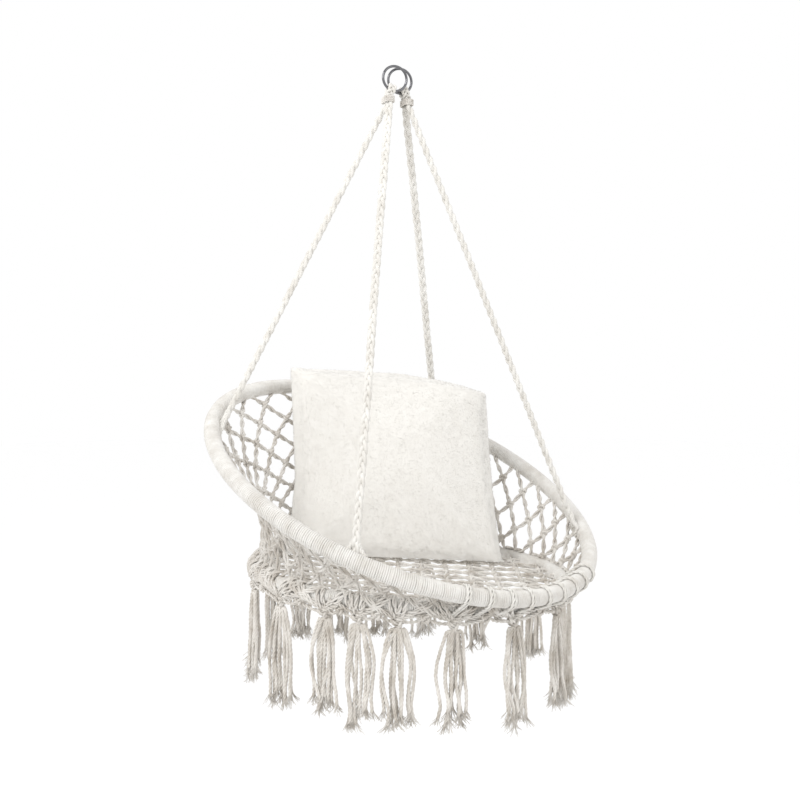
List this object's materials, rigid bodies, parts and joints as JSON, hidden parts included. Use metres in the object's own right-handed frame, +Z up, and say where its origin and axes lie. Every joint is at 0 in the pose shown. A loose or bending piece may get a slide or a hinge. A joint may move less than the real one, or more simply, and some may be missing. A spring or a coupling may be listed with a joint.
{
  "type": "hanging nest chair",
  "caption": "Saucer-shaped hanging chair: two cord-wrapped hoops joined by knotted nets, with a tassel fringe, braided ropes on steel rings and a loose cushion.",
  "frame": {"origin": "where a hook carries both steel rings: the inside of the rings' tops", "axes": "+Z up along the line of hang, the chair's front faces -Y, +X is the sitter's left"},
  "size_m": [0.799, 0.7096, 1.2248],
  "materials": {
    "steel": "polished",
    "braid": "braided cotton",
    "tube_steel": "powder coated",
    "foam": "closed-cell foam",
    "wrap": "close-wound cotton cord",
    "net_cord": "twisted cotton cord",
    "fringe": "twisted cotton cord, frayed ends",
    "fleece": "short fleece pile",
    "filling": "white fibre filling",
    "zip_tape": "woven tape and plastic coil"
  },
  "bodies": {
    "hook_rings": {"steel_ring_left": "steel", "steel_ring_right": "steel"},
    "rope_heads": {"rope_eye_left": "braid", "rope_eye_right": "braid"},
    "chair": {"rope_whipping_left": "braid", "rope_whipping_right": "braid", "rope_front_left": "braid", "rope_front_right": "braid", "rope_back_left": "braid", "rope_back_right": "braid", "rope_hitch_front_left": "braid", "rope_hitch_front_right": "braid", "rope_hitch_back_left": "braid", "rope_hitch_back_right": "braid", "back_hoop_tube": "tube_steel", "back_hoop_foam": "foam", "back_hoop_wrap": "wrap", "seat_hoop_tube": "tube_steel", "seat_hoop_foam": "foam", "seat_hoop_wrap": "wrap", "front_lashing": "net_cord", "back_net": "net_cord", "seat_net": "net_cord", "tassel_knots": "net_cord"},
    "cushion": {"cushion_cover": "fleece", "cushion_insert": "filling", "cushion_zip": "zip_tape"},
    "tassel_01_body": {"tassel_01": "fringe"},
    "tassel_02_body": {"tassel_02": "fringe"},
    "tassel_03_body": {"tassel_03": "fringe"},
    "tassel_04_body": {"tassel_04": "fringe"},
    "tassel_05_body": {"tassel_05": "fringe"},
    "tassel_06_body": {"tassel_06": "fringe"},
    "tassel_07_body": {"tassel_07": "fringe"},
    "tassel_08_body": {"tassel_08": "fringe"},
    "tassel_09_body": {"tassel_09": "fringe"},
    "tassel_10_body": {"tassel_10": "fringe"},
    "tassel_11_body": {"tassel_11": "fringe"},
    "tassel_12_body": {"tassel_12": "fringe"},
    "tassel_13_body": {"tassel_13": "fringe"},
    "tassel_14_body": {"tassel_14": "fringe"},
    "tassel_15_body": {"tassel_15": "fringe"},
    "tassel_16_body": {"tassel_16": "fringe"},
    "tassel_17_body": {"tassel_17": "fringe"},
    "tassel_18_body": {"tassel_18": "fringe"}
  },
  "joints": [
    {"name": "side_sway", "type": "hinge", "parent": "hook_rings", "child": "rope_heads", "pos_m": [0, 0, -0.02007], "axis": [0.4305, 0.9026, 0], "range_deg": [-14, 14]},
    {"name": "swing", "type": "hinge", "parent": "rope_heads", "child": "chair", "pos_m": [0, 0, -0.05695], "axis": [0.9909, -0.1348, 0], "range_deg": [-28, 28]},
    {"name": "tassel_01_swing", "type": "hinge", "parent": "chair", "child": "tassel_01_body", "pos_m": [-0.30085, -0.00979, -1.01233], "axis": [-0.0872, -0.993, -0.0792], "range_deg": [-20, 40]},
    {"name": "tassel_02_swing", "type": "hinge", "parent": "chair", "child": "tassel_02_body", "pos_m": [-0.29171, -0.11395, -1.02064], "axis": [0.2588, -0.9629, -0.0768], "range_deg": [-20, 40]},
    {"name": "tassel_03_swing", "type": "hinge", "parent": "chair", "child": "tassel_03_body", "pos_m": [-0.26908, -0.1727, -1.02533], "axis": [0.454, -0.8882, -0.0708], "range_deg": [-20, 40]},
    {"name": "tassel_04_swing", "type": "hinge", "parent": "chair", "child": "tassel_04_body", "pos_m": [-0.23134, -0.22954, -1.02986], "axis": [0.6428, -0.7636, -0.0609], "range_deg": [-20, 40]},
    {"name": "tassel_05_swing", "type": "hinge", "parent": "chair", "child": "tassel_05_body", "pos_m": [-0.16004, -0.29133, -1.03479], "axis": [0.848, -0.5282, -0.0421], "range_deg": [-20, 40]},
    {"name": "tassel_06_swing", "type": "hinge", "parent": "chair", "child": "tassel_06_body", "pos_m": [-0.05244, -0.3325, -1.03807], "axis": [0.9848, -0.1731, -0.0138], "range_deg": [-20, 40]},
    {"name": "tassel_07_swing", "type": "hinge", "parent": "chair", "child": "tassel_07_body", "pos_m": [0.07816, -0.32682, -1.03762], "axis": [0.9659, 0.258, 0.0206], "range_deg": [-20, 40]},
    {"name": "tassel_08_swing", "type": "hinge", "parent": "chair", "child": "tassel_08_body", "pos_m": [0.17751, -0.27958, -1.03385], "axis": [0.809, 0.5859, 0.0467], "range_deg": [-20, 40]},
    {"name": "tassel_09_swing", "type": "hinge", "parent": "chair", "child": "tassel_09_body", "pos_m": [0.24432, -0.21298, -1.02854], "axis": [0.5878, 0.8065, 0.0643], "range_deg": [-20, 40]},
    {"name": "tassel_10_swing", "type": "hinge", "parent": "chair", "child": "tassel_10_body", "pos_m": [0.2954, -0.09862, -1.01942], "axis": [0.2079, 0.9751, 0.0778], "range_deg": [-20, 40]},
    {"name": "tassel_11_swing", "type": "hinge", "parent": "chair", "child": "tassel_11_body", "pos_m": [0.2903, 0.04695, -1.00781], "axis": [-0.2756, 0.9582, 0.0764], "range_deg": [-20, 40]},
    {"name": "tassel_12_swing", "type": "hinge", "parent": "chair", "child": "tassel_12_body", "pos_m": [0.2347, 0.15342, -0.99932], "axis": [-0.6293, 0.7747, 0.0618], "range_deg": [-20, 40]},
    {"name": "tassel_13_swing", "type": "hinge", "parent": "chair", "child": "tassel_13_body", "pos_m": [0.16004, 0.21927, -0.99406], "axis": [-0.848, 0.5282, 0.0421], "range_deg": [-20, 40]},
    {"name": "tassel_14_swing", "type": "hinge", "parent": "chair", "child": "tassel_14_body", "pos_m": [0.07816, 0.25476, -0.99123], "axis": [-0.9659, 0.258, 0.0206], "range_deg": [-20, 40]},
    {"name": "tassel_15_swing", "type": "hinge", "parent": "chair", "child": "tassel_15_body", "pos_m": [-0.0158, 0.2646, -0.99045], "axis": [-0.9986, -0.0522, -0.0042], "range_deg": [-20, 40]},
    {"name": "tassel_16_swing", "type": "hinge", "parent": "chair", "child": "tassel_16_body", "pos_m": [-0.11313, 0.24309, -0.99216], "axis": [-0.9272, -0.3734, -0.0298], "range_deg": [-20, 40]},
    {"name": "tassel_17_swing", "type": "hinge", "parent": "chair", "child": "tassel_17_body", "pos_m": [-0.19412, 0.19458, -0.99603], "axis": [-0.766, -0.6408, -0.0511], "range_deg": [-20, 40]},
    {"name": "tassel_18_swing", "type": "hinge", "parent": "chair", "child": "tassel_18_body", "pos_m": [-0.26154, 0.11449, -1.00242], "axis": [-0.5, -0.8633, -0.0689], "range_deg": [-20, 40]},
    {"name": "cushion_pull", "type": "slide", "parent": "chair", "child": "cushion", "axis": [-0.6428, -0.7636, -0.0609], "range_m": [0, 0.1]}
  ]
}
